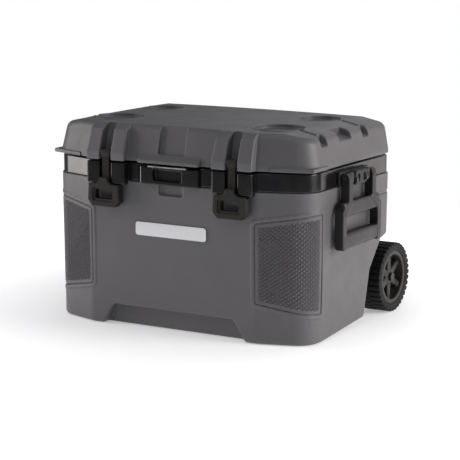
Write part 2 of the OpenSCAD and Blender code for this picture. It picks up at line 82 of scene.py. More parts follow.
PULL_LOW = latch_lo[2]
handle_lo, handle_hi = node_box("side_handle_right")
GRIP_LOW = handle_lo[2]
HANDLE_Y = (handle_lo[1] + handle_hi[1]) / 2 - MID_Y
HANDLE_OUT = handle_hi[0]
hpin_lo, hpin_hi = node_box("handle_pin_right")
HANDLE_X = (hpin_lo[0] + hpin_hi[0]) / 2
HANDLE_Z = (hpin_lo[2] + hpin_hi[2]) / 2
tyre_lo, tyre_hi = node_box("tyre_right")
WHEEL_R = (tyre_hi[2] - tyre_lo[2]) / 2
WHEEL_Z = (tyre_hi[2] + tyre_lo[2]) / 2
WHEEL_Y = (tyre_hi[1] + tyre_lo[1]) / 2 - MID_Y
WHEEL_X0, WHEEL_X1 = tyre_lo[0], tyre_hi[0]
WELL_SIDE = WHEEL_X0 - 11.0
# the tub's plan: a flat front, slanting facets beyond FACET_X and rounded corners
FACET_X = 200.0
FACET_BACK = 35.0
FACET_SLOPE = math.atan2(FACET_BACK, HALF_W - FACET_X)
DRAFT = 2.5
REAR_R = 28.0
FRONT_R = 55.0


def place(points):
    """Shape coordinates in millimetres as frame coordinates in metres."""
    p = np.array(points, float)
    p[..., 1] += MID_Y
    return p * MM


# ---------------------------------------------------------------- distance functions
def rmax(a, b, r):
    """Overlap of two shapes, its outer edge rounded to radius r."""
    return np.minimum(np.maximum(a, b), -r) + np.hypot(np.maximum(a + r, 0), np.maximum(b + r, 0))


def rmin(a, b, r):
    """Union of two shapes, the inner corner between them filleted to radius r."""
    return -rmax(-a, -b, r)


def cut(a, b, r):
    """Shape a less shape b."""
    return rmax(a, -b, r)


def span(t, lo, hi):
    """Distance to the interval lo..hi along one axis."""
    return np.abs(t - (lo + hi) / 2) - (hi - lo) / 2


def box(x, y, z, lo, hi, r):
    """A block from corner lo to corner hi with rounded edges."""
    return rmax(rmax(span(x, lo[0], hi[0]), span(y, lo[1], hi[1]), r), span(z, lo[2], hi[2]), r)


def poly(u, v, pts):
    """Distance to a polygon in the (u, v) plane, negative inside."""
    n = len(pts)
    near = None
    sign = 1.0
    for i in range(n):
        (ax, ay), (bx, by) = pts[i], pts[i - 1]
        ex, ey = bx - ax, by - ay
        wu, wv = u - ax, v - ay
        t = np.clip((wu * ex + wv * ey) / (ex * ex + ey * ey), 0, 1)
        d = (wu - ex * t) ** 2 + (wv - ey * t) ** 2
        near = d if near is None else np.minimum(near, d)
        c1, c2, c3 = v >= ay, v < by, ex * wv > ey * wu
        flip = (c1 & c2 & c3) | (~c1 & ~c2 & ~c3)
        sign = np.where(flip, -sign, sign)
    return sign * np.sqrt(near)


def prism(d2, t, lo, hi, r):
    """A flat outline d2 given thickness from lo to hi along t, with rounded rims."""
    return rmax(d2, span(t, lo, hi), r)


def plan(x, y, inset):
    """Distance to the tub's plan outline, moved in by inset, its corners rounded."""
    x, r = np.abs(x), FRONT_R
    facet_y = FRONT + FACET_BACK + r * (1 - math.sin(FACET_SLOPE)) / math.cos(FACET_SLOPE)
    core = [(-HALF_W, FRONT + r), (FACET_X - r * math.tan(FACET_SLOPE / 2), FRONT + r),
            (HALF_W - r, facet_y), (HALF_W - r, 2 * BACK), (-HALF_W, 2 * BACK)]
    rear = rmax(x - HALF_W, y - BACK, REAR_R)
    return np.maximum(poly(x, y, core) - r, rear) + inset


# ---------------------------------------------------------------- from distance function to mesh
def in_threads(work, chunks):
    """The results of work on each chunk, in order."""
    with ThreadPoolExecutor(4) as pool:
        return list(pool.map(work, chunks))


def gradient(f, p, h=0.25):
    """The gradient of f at the points p, from differences over 2 h."""
    g = np.empty_like(p)
    for k in range(3):
        a, b = p.copy(), p.copy()
        a[:, k] += h
        b[:, k] -= h
        g[:, k] = (f(a[:, 0], a[:, 1], a[:, 2]) - f(b[:, 0], b[:, 1], b[:, 2])) / (2 * h)
    return g


def settle(f, points, reach, rounds=2):
    """Moves points onto the surface f = 0 and returns them with the surface's normals."""
    parts = in_threads(lambda p: settle_some(f, p, reach, rounds), np.array_split(points, 12))
    return np.concatenate([a for a, _ in parts]), np.concatenate([b for _, b in parts])


def settle_some(f, p, reach, rounds):
    """settle() for one thread's share of the points; no step is longer than reach."""
    for _ in range(rounds):
        g = gradient(f, p)
        d = f(p[:, 0], p[:, 1], p[:, 2])
        step = (d / np.maximum((g ** 2).sum(1), 0.2))[:, None] * g
        length = np.linalg.norm(step, axis=1, keepdims=True)
        p = p - step * np.minimum(1, reach / np.maximum(length, 1e-9))
    g = gradient(f, p)
    return p, g / np.maximum(np.linalg.norm(g, axis=1, keepdims=True), 1e-9)


CORNERS = [(i, j, k) for i in (0, 1) for j in (0, 1) for k in (0, 1)]
EDGES = [(a, b) for a in range(8) for b in range(a + 1, 8)
         if sum(abs(p - q) for p, q in zip(CORNERS[a], CORNERS[b])) == 1]


def surface_net(f, lo, hi, step):
    """Quads on the surface f = 0 inside the box lo..hi, one corner for each grid cell it crosses."""
    axes = [np.arange(lo[k] - step, hi[k] + 2 * step, step) for k in range(3)]
    x, y, z = axes[0][:, None, None], axes[1][None, :, None], axes[2][None, None, :]
    slabs = np.array_split(x, max(4, len(axes[0]) // 8))
    v = np.concatenate(in_threads(lambda part: f(part, y, z).astype(np.float32), slabs))
    inside = v < 0
    n = [len(a) - 1 for a in axes]
    count = sum(inside[i:i + n[0], j:j + n[1], k:k + n[2]].astype(np.int8) for i, j, k in CORNERS)
    cells = np.argwhere((count > 0) & (count < 8))
    index = np.full(n, -1, np.int64)
    index[tuple(cells.T)] = np.arange(len(cells))
    at = [v[cells[:, 0] + i, cells[:, 1] + j, cells[:, 2] + k] for i, j, k in CORNERS]
    total, hits = np.zeros((len(cells), 3)), np.zeros((len(cells), 1))
    for a, b in EDGES:
        crossing = (at[a] < 0) != (at[b] < 0)
        t = np.where(crossing, at[a] / np.where(crossing, at[a] - at[b], 1), 0)[:, None]
        p = np.array(CORNERS[a]) * (1 - t) + np.array(CORNERS[b]) * t
        total += p * crossing[:, None]
        hits += crossing[:, None]
    points = np.array([a[0] for a in axes]) + (cells + total / hits) * step
    quads = []
    for k in range(3):
        a, b = (k + 1) % 3, (k + 2) % 3
        lower = [slice(0, -1)] * 3
        upper = list(lower)
        upper[k] = slice(1, None)
        change = inside[tuple(slice(None, -1) if m == k else slice(None) for m in range(3))] != \
            inside[tuple(slice(1, None) if m == k else slice(None) for m in range(3))]
        e = np.argwhere(change)
        e = e[(e[:, a] > 0) & (e[:, b] > 0) & (e[:, a] < n[a]) & (e[:, b] < n[b])]
        ring = []
        for da, db in ((0, 0), (-1, 0), (-1, -1), (0, -1)):
            c = e.copy()
            c[:, a] += da
            c[:, b] += db
            ring.append(index[tuple(c.T)])
        q = np.stack(ring, 1)
        outward = inside[tuple(e.T)]
        q[~outward] = q[~outward][:, ::-1]
        quads.append(q)
    return points, np.concatenate(quads)


def mesh_object(name, points, faces):
    me = bpy.data.meshes.new(name)
    me.from_pydata(place(points).tolist(), [], faces.tolist())
    me.update()
    me.shade_smooth()
    ob = bpy.data.objects.new(name, me)
    scene.collection.objects.link(ob)
    return ob


def applied(ob):
    """The object's mesh with its modifiers applied, in place of its own."""
    dg = bpy.context.evaluated_depsgraph_get()
    me = bpy.data.meshes.new_from_object(ob.evaluated_get(dg))
    ob.modifiers.clear()
    ob.data = me
    return ob


def moulded(name, f, lo, hi, step, keep=0.3):
    """A piece from distance function f: meshed, thinned where it is flat, with exact normals."""
    points, quads = surface_net(f, lo, hi, step)
    points, _ = settle(f, points, step * 0.6, 1)
    ob = mesh_object(name, points, quads)
    thin = ob.modifiers.new("thin", "DECIMATE")
    thin.ratio = keep
    applied(ob)
    me = ob.data
    co = np.empty(len(me.vertices) * 3)
    me.vertices.foreach_get("co", co)
    p = co.reshape(-1, 3) / MM
    p[:, 1] -= MID_Y
    p, normals = settle(f, p, step * 0.6)
    me.vertices.foreach_set("co", place(p).ravel())
    me.update()
    me.shade_smooth()
    me.normals_split_custom_set_from_vertices(normals.tolist())
    return ob


def mirrored(f):
    return lambda x, y, z: f(-x, y, z)


# ---------------------------------------------------------------- the lid
CUPS = ((194.0, -92.0, 53.0), (194.0, 85.0, 44.0))  # across, along, radius
CUP_DEPTH = 10.0
SKIN = 5.0
LEAN = 14.0  # how far the walls lean in, from LEAN_LOW to LEAN_HIGH
LEAN_LOW, LEAN_HIGH = 362.0, 422.0
UPRIGHT = 0.6  # share of the lean that the rear wall lacks
CROWN = 2.5
MARGIN_X, MARGIN_SLOPE = 245.0, 0.19  # the side margins of the top slope down from here
LIP_HALF = 74.0
RECESS_HALF = 31.0
BLOCK_HALF = 47.0
SLOT_HALF = 14.0
BACKING = 32.0  # depth of the thick places behind the front wall
NOTCHES = ((-113, -85, 398, 280), (-34, 21, 401, 270), (72, 99, 398, 280))  # from, to, floor, inner end
CHANNELS = ((-106, -92), (78, 93))
CHANNEL_X, CHANNEL_DEPTH = 240.0, 3.5
GRIPS = (-122, 110)  # the thick places round the notches
LEDGE_OUT, LEDGE_IN, LEDGE_LONG, LEDGE_HIGH = 3.0, 228.0, 95.0, 8.0


def lean(z):
    """How far the lid's walls have leaned in at height z."""
    return LEAN * np.clip((z - LEAN_LOW) / (LEAN_HIGH - LEAN_LOW), 0, 1)


def crown(x, y):
    """How far the lid's top falls away from its middle: gently at first, more in the side margins."""
    gentle = CROWN * ((x / HALF_W) ** 2 + (y / BACK) ** 2)
    return gentle + MARGIN_SLOPE * np.maximum(np.abs(x) - MARGIN_X, 0)


def lid_walls(x, y, z, inset, top, r):
    """The lid's leaning walls and crowned top, moved in by inset; the rear wall stands more upright."""
    upright = np.where(y > 0, UPRIGHT * lean(z), 0)
    return rmax(plan(x, y - upright, inset + lean(z)), z - (top - crown(x, y)), r)


def at_latch(x):
    """Distance across from the middle of the nearer latch."""
    return np.abs(np.abs(x) - LATCH_X)


def lid_shape(x, y, z):
    ax, lx = np.abs(x), at_latch(x)
    outer = lid_walls(x, y, z, 0, LID_TOP, 11)
    d = rmax(outer, LID_BOTTOM - z, 1.5)
    d = cut(d, lid_walls(x, y, z, np.where(z < LID_BOTTOM + 5, WALL, SKIN), LID_TOP - SKIN, 6), 0.5)
    for cx, cy, r in CUPS:
        away = np.hypot(ax - cx, y - cy)
        post = np.maximum(away - r - SKIN, LID_TOP - CUP_DEPTH - SKIN - z)
        d = np.minimum(d, np.maximum(post, outer))
        d = cut(d, rmax(away - r, LID_TOP - CUP_DEPTH - z, 4), 1.2)
        rim_z = z - LID_TOP + crown(cx, cy) + 0.3
        d = rmin(d, np.hypot(away - r - 1.6, rim_z) - 1.6, 0.6)
    # thickness left behind the latch slots, the middle recess and the notches
    behind = np.maximum(y - FRONT - BACKING, LID_BOTTOM + 5 - z)
    cheek = np.maximum(lx - SLOT_HALF - SKIN, behind)
    middle = np.maximum(ax - RECESS_HALF - SKIN, behind)
    grips = np.maximum(np.maximum(258 - ax, span(y, *GRIPS)), 386 - z)
    for thick in (cheek, middle, grips):
        d = np.minimum(d, np.maximum(thick, outer))
    # ribs beside the latches
    rib = poly(y, z, [(BOSS_Y, LID_BOTTOM), (FRONT + 26, LID_BOTTOM), (FRONT + 26, LID_TOP - 3),
                      (FRONT + 16, LID_TOP - 3), (FRONT + 1, LID_TOP - 14), (BOSS_Y, LID_BOTTOM + 16)])
    half = BLOCK_HALF - 0.04 * (z - LID_BOTTOM)
    d = rmin(d, rmax(rib, lx - half, 2.5), 2)
    slot = rmax(lx - SLOT_HALF, z - LID_TOP + 2, 12)
    d = cut(d, rmax(slot, y - (FRONT + 9 + lean(z)), 3), 1)
    # recess in the middle of the front wall, open at the top
    recess = rmax(ax - RECESS_HALF, y - (FRONT + 6.5 + lean(z)), 3)
    d = cut(d, rmax(recess, LID_BOTTOM + 17 - z, 3), 1)
    # lip that lifts the lid
    lip = poly(y, z, [(FRONT + 2, LID_BOTTOM), (FRONT - 13, LID_BOTTOM), (FRONT - 13, LID_BOTTOM + 6),
                      (FRONT - 4, LID_BOTTOM + 12), (FRONT + 2, LID_BOTTOM + 16)])
    d = rmin(d, rmax(lip, ax - LIP_HALF, 4), 2)
    # sharp ledges at the front corners
    facet = (ax - FACET_X) * math.sin(FACET_SLOPE) - (y - FRONT) * math.cos(FACET_SLOPE) - LEDGE_OUT
    ledge = rmax(rmax(facet, ax - HALF_W - LEDGE_OUT, 1.5), y - (FRONT + LEDGE_LONG), 3)
    ledge = rmax(np.maximum(ledge, LEDGE_IN - ax), span(z, LID_BOTTOM, LID_BOTTOM + LEDGE_HIGH), 1.2)
    ledge = np.maximum(ledge, -plan(x, y, WALL))
    d = rmin(d, ledge, 1)
    # notches that the fingers and straps go through, with their drain channels
    for y0, y1, floor, inner in NOTCHES:
        notch = rmax(rmax(span(y, y0, y1), inner - ax, 5), floor + 0.25 * (300 - ax) - z, 3)
        d = cut(d, notch, 2)
    for y0, y1 in CHANNELS:
        run = rmax(span(y, y0, y1), CHANNEL_X - ax, 3)
        d = cut(d, rmax(run, LID_TOP - CHANNEL_DEPTH - crown(x, y) - z, 2), 1.5)
    return d


# ---------------------------------------------------------------- the rim band
BAND_INSET = 3.0
BLOCK_DROP = 9.0  # how far the latch blocks hang below the band
BULGE_HALF, BULGE_OUT = 72.0, 12.0


def band_shape(x, y, z):
    ax, lx = np.abs(x), at_latch(x)
    d = rmax(plan(x, y, BAND_INSET), span(z, SHELL_TOP, BAND_TOP), 2)
    d = cut(d, np.maximum(plan(x, y, BAND_INSET + WALL), z - (BAND_TOP - WALL)), 0.5)
    d = cut(d, rmax(ax - MOUTH_X, np.abs(y) - MOUTH_Y, 24), 0.5)
    block = rmax(lx - BLOCK_HALF, span(y, BOSS_Y, FRONT + 5), 5)
    block = rmax(block, span(z, SHELL_TOP - BLOCK_DROP, BAND_TOP), 4)
    block = cut(block, rmax(lx - SLOT_HALF, y - (FRONT - 0.5), 2), 1.5)
    outside = -plan(x, y, BAND_INSET + 0.5) - 0.6
    d = rmin(d, np.maximum(block, outside), 1.2)
    # bulge in the middle with the finger pocket
    bulge = rmax(ax - BULGE_HALF, span(y, FRONT - BULGE_OUT, FRONT + 20), 10)
    bulge = rmax(bulge, span(z, SHELL_TOP - 1, BAND_TOP - 3), 2)
    d = rmin(d, np.maximum(bulge, outside), 9)
    d = cut(d, box(x, y, z, (-36, FRONT - 40, 318), (33, FRONT - 1, 343), 4), 1.2)
    d = cut(d, box(x, y, z, (-46, FRONT - 40, BAND_TOP - 3), (46, FRONT - 2, BAND_TOP + 20), 1), 0.5)
    return d


# ---------------------------------------------------------------- the tub
PANEL_X = 195.0
PANEL_END = -120.0
PANEL_DEPTH = 2.2
TUB_SKIN = 6.5
ARCH_BACK = 26.0
FLOOR_TILT = 0.075  # the underside rises towards the rear from y = -110
PAD_HALF, PAD_LOW, PAD_DEPTH = 29.0, 287.0, 6.0
ARCH = ((-176, -20), (176, -20), (172, 4), (149, 40), (143, 46), (-143, 46), (-149, 40), (-172, 4))
WELL = ((67, -20), (100, 114), (150, 172), (183, 180), (190, 186), (260, 186), (260, -20))


def panel_share(x):
    """0 at the corner panel's front edge, 1 at the tub's side."""
    return np.clip((np.abs(x) - PANEL_X) / (HALF_W - PANEL_X), 0, 1)


def panel_low(x):
    return 84 - 23 * panel_share(x)


def panel_high(x):
    return 248 + 18 * panel_share(x)


def tub_walls(x, y, z, inset, r):
    """The tub with its draft, wheel wells and front arch, all moved in by inset."""
    ax = np.abs(x)
    floor = 1 + np.maximum(y + 110, 0) * FLOOR_TILT + inset
    d = rmax(plan(x, y, inset + DRAFT * (1 - z / SHELL_TOP)), floor - z, r)
    well = rmax(poly(y, z, WELL) - inset, WELL_SIDE - inset - ax, 3)
    d = cut(d, well, 4)
    arch = rmax(poly(x, z, ARCH) - inset, y - (FRONT + ARCH_BACK + inset), 3)
    return cut(d, arch, 3)


def tub_shape(x, y, z):
    ax = np.abs(x)
    d = np.maximum(tub_walls(x, y, z, 0, 7), z - SHELL_TOP)
    d = cut(d, tub_walls(x, y, z, TUB_SKIN, 4), 0.5)
    skin = plan(x, y, DRAFT * (1 - z / SHELL_TOP))
    # the corner panels sit in shallow recesses
    recess = rmax(PANEL_X - ax, rmax(panel_low(x) - z, z - panel_high(x), 8), 6)
    recess = np.maximum(recess, y - PANEL_END)
    # with a low rounded ridge round each recess
    ridge = rmax(np.abs(recess - 4.5) - 3.2, skin - 1.0, 0.9)
    d = rmin(d, np.maximum(np.maximum(ridge, -3 - skin), y - PANEL_END - 9), 1.5)
    d = cut(d, np.maximum(recess, -PANEL_DEPTH - skin), 0.6)
    # groove under the band along the rear half
    groove = rmax(span(z, 268, 275), 90 - y, 2)
    d = cut(d, np.maximum(groove, -1.5 - skin), 0.6)
    # thumb pad below the middle of the band
    wide, low = PAD_HALF + 7, PAD_LOW - 7
    d = np.minimum(d, box(x, y, z, (-wide, FRONT + 2, low), (wide, FRONT + 12, SHELL_TOP), 2))
    pad = box(x, y, z, (-PAD_HALF, FRONT - 20, PAD_LOW), (PAD_HALF, FRONT + PAD_DEPTH, 325), 6)
    d = cut(d, pad, 0.6)
    # housings that carry the axle
    housing = poly(y, z, [(BACK - 2, 48), (WHEEL_Y + 6, 48), (WHEEL_Y + 20, 60), (WHEEL_Y + 20, 94),
                          (BACK - 2, 128)])
    d = rmin(d, rmax(rmax(housing, span(ax, 182, WELL_SIDE), 4), 0.5 - (y - BACK + 3), 0.5), 4)
    return cut(d, np.hypot(y - WHEEL_Y, z - WHEEL_Z) - 6.05, 0.4)


def tub_foam_shape(x, y, z):
    """The insulation between the tub's outer shell and the liner."""
    ax = np.abs(x)
    d = rmax(tub_walls(x, y, z, TUB_SKIN + 0.5, 6), z - (BAND_TOP - WALL - 0.5), 2)
    d = np.maximum(d, np.where(z > SHELL_TOP - 1, plan(x, y, BAND_INSET + WALL + 0.5), d))
    wide, low = PAD_HALF + 8, PAD_LOW - 8
    d = cut(d, box(x, y, z, (-wide, FRONT, low), (wide, FRONT + 13, SHELL_TOP + 1), 2), 0.5)
    deep = box(ax, y, z, (-99, -MOUTH_Y - 0.5, STEP_FLOOR), (MOUTH_X + 0.5, STEP_Y, 999), 24)
    rear = box(ax, y, z, (-99, -MOUTH_Y - 0.5, STEP_FLOOR), (STEP_X, MOUTH_Y + 0.5, 999), 24)
    upper = box(ax, y, z, (-99, -MOUTH_Y - 0.5, STEP_Z), (MOUTH_X + 0.5, MOUTH_Y + 0.5, 999), 24)
    return cut(d, np.minimum(np.minimum(deep, rear), upper), 0.5)


def lid_foam_shape(x, y, z):
    """The insulation between the lid's outer shell and its liner."""
    ax = np.abs(x)
    d = rmax(lid_walls(x, y, z, SKIN + 0.5, LID_TOP - SKIN - 0.5, 6), LID_BOTTOM + 4.5 - z, 1)
    for cx, cy, r in CUPS:
        d = cut(d, np.maximum(np.hypot(ax - cx, y - cy) - r - SKIN, LID_TOP - CUP_DEPTH - SKIN - z), 1)
    d = cut(d, np.maximum(at_latch(x) - SLOT_HALF - SKIN, y - FRONT - BACKING), 1)
    d = cut(d, np.maximum(np.maximum(257 - ax, span(y, GRIPS[0] - 1, GRIPS[1] + 1)), 385 - z), 1)
    return cut(d, np.maximum(ax - RECESS_HALF - SKIN - 2, y - FRONT - BACKING), 1)


# ---------------------------------------------------------------- latches, handles and wheels
def latch_shape(x, y, z):
    """A rubber latch: a round head on its pin, a grooved neck and a pull loop."""
    lx = x - LATCH_X
    d = rmax(np.hypot(y - LATCH_Y, z - LATCH_Z) - 7.5, np.abs(lx) - 11.5, 2.5)
    neck = box(lx, y, z, (-8.5, BOSS_Y + 1.5, SHELL_TOP - 5), (8.5, FRONT - 2, LATCH_Z), 2)
    d = rmin(d, neck, 4)
    for at in (-4.8, 0, 4.8):
        groove = np.hypot(lx - at, y - BOSS_Y - 0.8) - 1.9
        d = cut(d, rmax(groove, span(z, 316, LATCH_Z - 9), 1), 0.3)
    # pull loop: wide shoulders, cut corners and a stepped window
    half = [(9, 317), (12, 308), (19, 303), (37, 302), (39.3, 268), (28, PULL_LOW)]
    outline = poly(lx, z, [(-9, 317)] + half + [(-u, v) for u, v in half[:0:-1]])
    pull = prism(outline, y, PULL_Y, BOSS_Y - 0.6, 2.6)
    loop = prism(np.maximum(outline, z - 297.5), y, PULL_Y + 1, FRONT - 5, 3)
    pull = np.minimum(pull, loop)
    step = np.maximum(box(lx, y, z, (-27, -400, 267), (27, 400, 295), 5), y - PULL_Y - 2.6)
    pull = cut(pull, step, 1.2)
    pull = cut(pull, rmax(np.abs(lx) - 21.5, span(z, 272, 291.5), 4), 1.5)
    return rmin(d, pull, 3)


ARM_TOP, ARM_LOW, ARM_WIDTH = 62.0, 88.0, 17.0  # half spread of the arms above and below, their width
HANDLE_IN = HALF_W + 5


def handle_shape(x, y, z):
    """A hanging frame: two arms that spread downwards, a crossbar and a round grip."""
    v = np.abs(y - HANDLE_Y)
    tops, lows, width = ARM_TOP, ARM_LOW, ARM_WIDTH
    mid_x = (HANDLE_IN + HANDLE_OUT) / 2
    arm = poly(v, z, [(tops - width, HANDLE_Z + 12), (tops, HANDLE_Z + 12), (tops, 283), (lows, 264),
                      (lows, GRIP_LOW + 5), (lows - 6, GRIP_LOW), (lows - width, GRIP_LOW),
                      (lows - width, 256), (tops - width, 277)])
    thick = np.abs(x - mid_x) - (HANDLE_OUT - HANDLE_IN) / 2
    arm = rmax(arm, thick, 2)
    crown = rmax(np.hypot(x - HANDLE_X, z - HANDLE_Z) - 9.5, HANDLE_Z - z, 0.5)
    arm = np.maximum(arm, np.where(z > HANDLE_Z, crown, -9))
    bar = box(x, v, z, (HALF_W + 8, -40, 252), (HANDLE_OUT - 1.5, lows - 8, 283), 5)
    d = rmin(arm, bar, 5)
    grip = np.hypot(x - HALF_W - 15, np.maximum(span(z, GRIP_LOW + 10, GRIP_LOW + 25), 0)) - 9.5
    d = rmin(d, rmax(grip, v - lows + 2, 3), 2)
    hole = np.hypot(x - HANDLE_X, z - HANDLE_Z) - 3.6
    return cut(d, hole, 0.5)


def bracket_shape(x, y, z):
    """The plate on the rim band that carries the handle: a slotted block between two ears."""
    v = np.abs(y - HANDLE_Y)
    d = box(x, v, z, (HALF_W - 3, -80, 312.5), (HALF_W + 4.5, 64, 341), 2)
    block = box(x, v, z, (HALF_W, -40, 312), (HANDLE_OUT - 3, 25, 341), 4)
    for side in (-12.5, 12.5):
        slot = rmax(np.abs(y - HANDLE_Y - side) - 5, span(z, 318, 334), 3)
        block = cut(block, np.maximum(slot, HANDLE_OUT - 7 - x), 1)
    d = rmin(d, block, 2)
    ear = box(x, v, z, (HALF_W, 29.5, 318), (HANDLE_X + 6, 43.5, 340), 4)
    d = rmin(d, ear, 2)
    d = cut(d, rmax(np.hypot(x - HANDLE_X, z - HANDLE_Z) - 10.4, np.abs(v - 53.5) - 9.3, 0.5), 0.5)
    return cut(d, np.maximum(np.hypot(x - HANDLE_X, z - HANDLE_Z) - 3.55, v - 50), 0.4)


SPOKES = 6
TREADS = 36
RIM_R = 56.0
HUB_R, BUSH_R = 16.0, 9.05


def fold_angle(a, n):
    """Angles folded into one of n equal sectors, centred on zero."""
    w = 2 * math.pi / n
    return np.mod(a + w / 2, w) - w / 2


def rim_shape(x, y, z):
    """A wheel rim with flat spokes and a hub bored for the bush."""
    v, w = y - WHEEL_Y, z - WHEEL_Z
    r, a = np.hypot(v, w), np.arctan2(w, v)
    ring = rmax(span(r, RIM_R - 6, RIM_R), span(x, WHEEL_X0 + 4, WHEEL_X1 - 4), 1.5)
    lip = rmax(span(r, RIM_R - 7, RIM_R + 2), span(x, WHEEL_X1 - 9, WHEEL_X1 - 2.5), 1.5)
    d = rmin(ring, lip, 2)
    fold = fold_angle(a - math.pi / SPOKES, SPOKES)
    along, across = r * np.cos(fold), r * np.sin(fold)
    half = 9.5 - 0.07 * along
    spoke = rmax(np.abs(across) - half, span(along, 8, RIM_R - 3), 1)
    spoke = rmax(spoke, span(x, WHEEL_X1 - 27, WHEEL_X1 - 12), 3)
    d = rmin(d, spoke, 4)
    hub = rmax(r - HUB_R, span(x, WHEEL_X0 + 3.3, WHEEL_X1 - 10), 3)
    d = rmin(d, hub, 3)
    return cut(d, r - BUSH_R, 0.6)


def tyre_shape(x, y, z):
    """A tyre with two staggered rows of tread blocks."""
    v, w = y - WHEEL_Y, z - WHEEL_Z
    r, a = np.hypot(v, w), np.arctan2(w, v)
    mid = (WHEEL_X0 + WHEEL_X1) / 2
    half = (WHEEL_X1 - WHEEL_X0) / 2
    d = rmax(span(r, RIM_R, WHEEL_R - 2.6), np.abs(x - mid) - half + 0.5, 5)
    row = np.where(x > mid, 0.0, math.pi / TREADS)
    fold = fold_angle(a - row, TREADS)
    block = rmax(np.abs(r * np.sin(fold)) - 4.6, span(np.abs(x - mid), 1.6, half), 1.6)
    block = rmax(block, span(r, WHEEL_R - 12, WHEEL_R), 2)
    return rmin(d, block, 1)


# ---------------------------------------------------------------- raised corner panels
def panel_path():
    """Points along the tub's plan from the panel's front edge round the corner to its rear edge."""
    stops = [(PANEL_X, FRONT), (FACET_X, FRONT), (HALF_W, FRONT + FACET_BACK), (HALF_W, PANEL_END)]
    p = []
    for (ax, ay), (bx, by) in zip(stops, stops[1:]):
        n = max(2, int(math.hypot(bx - ax, by - ay) / 1.5))
        p += [(ax + (bx - ax) * k / n, ay + (by - ay) * k / n) for k in range(n)]
    p = np.array(p + [stops[-1]])
    for _ in range(6):
        d = plan(p[:, 0], p[:, 1], 0)
        h = 0.1
        gx = (plan(p[:, 0] + h, p[:, 1], 0) - plan(p[:, 0] - h, p[:, 1], 0)) / (2 * h)
        gy = (plan(p[:, 0], p[:, 1] + h, 0) - plan(p[:, 0], p[:, 1] - h, 0)) / (2 * h)
        p = p - np.stack([gx, gy], 1) * d[:, None]
    return p


PANEL_GAP = 1.6
PANEL_BORDER = 7.0
PANEL_HIGH = 190.0  # mean height, for spacing the knurl
KNURL = (11.0, 8.6)
KNURL_HIGH, KNURL_BASE = 3.2, -1.9


def corner_panel(name, side):
    """A knurled grip panel that follows the tub's front corner."""
    path = panel_path()
    s = np.concatenate([[0], np.cumsum(np.hypot(*np.diff(path, axis=0).T))])
    cols = 4 * round((s[-1] - 2 * PANEL_GAP) / KNURL[0])
    at = np.linspace(PANEL_GAP, s[-1] - PANEL_GAP, cols + 1)
    px, py = np.interp(at, s, path[:, 0]), np.interp(at, s, path[:, 1])
    tx, ty = np.gradient(px), np.gradient(py)
    nx, ny = ty / np.hypot(tx, ty), -tx / np.hypot(tx, ty)
    rows = 4 * round(PANEL_HIGH / KNURL[1])
    inner = (rows + 1, cols + 1)
    t, u = np.meshgrid(np.linspace(0, 1, rows + 1), at, indexing="ij")
    low = panel_low(px) + PANEL_GAP
    high = panel_high(px) - PANEL_GAP
    z = low + (high - low) * t
    edge = np.minimum(np.minimum(u - at[0], at[-1] - u), np.minimum(z - low, high - z))
    # rows and columns of small pyramids inside a smooth border
    i, j = np.indices(inner)
    a = 1 - np.abs(2 * np.mod((i + j) / 4, 1) - 1)
    b = 1 - np.abs(2 * np.mod((i - j) / 4, 1) - 1)
    knurl = KNURL_HIGH * np.minimum(a, b) + KNURL_BASE
    blend = np.clip((edge - PANEL_BORDER) / 1.5, 0, 1)
    height = blend * knurl - 1.6 * np.clip(1 - edge / 1.6, 0, 1) ** 2
    out = height - DRAFT * (1 - z / SHELL_TOP)
    front = np.stack([px + nx * out, py + ny * out, z], -1)
    sunk = 0.2 - PANEL_DEPTH - DRAFT * (1 - z / SHELL_TOP)
    back = np.stack([px + nx * sunk, py + ny * sunk, z], -1)
    n = inner[0] * inner[1]
    points = np.concatenate([front.reshape(-1, 3), back.reshape(-1, 3)])
    k = np.arange(n).reshape(inner)
    quad = np.stack([k[:-1, :-1], k[:-1, 1:], k[1:, 1:], k[1:, :-1]], -1).reshape(-1, 4)
    rim = np.concatenate([k[0, :], k[1:, -1], k[-1, -2::-1], k[-2:0:-1, 0]])
    nxt = np.roll(rim, -1)
    sides = np.stack([rim, rim + n, nxt + n, nxt], 1)
    faces = np.concatenate([quad, quad[:, ::-1] + n, sides])
    if side < 0:
        points[:, 0] *= -1
        faces = faces[:, ::-1]
    ob = mesh_object(name, points, faces)
    ob.data.shade_flat()
    return ob


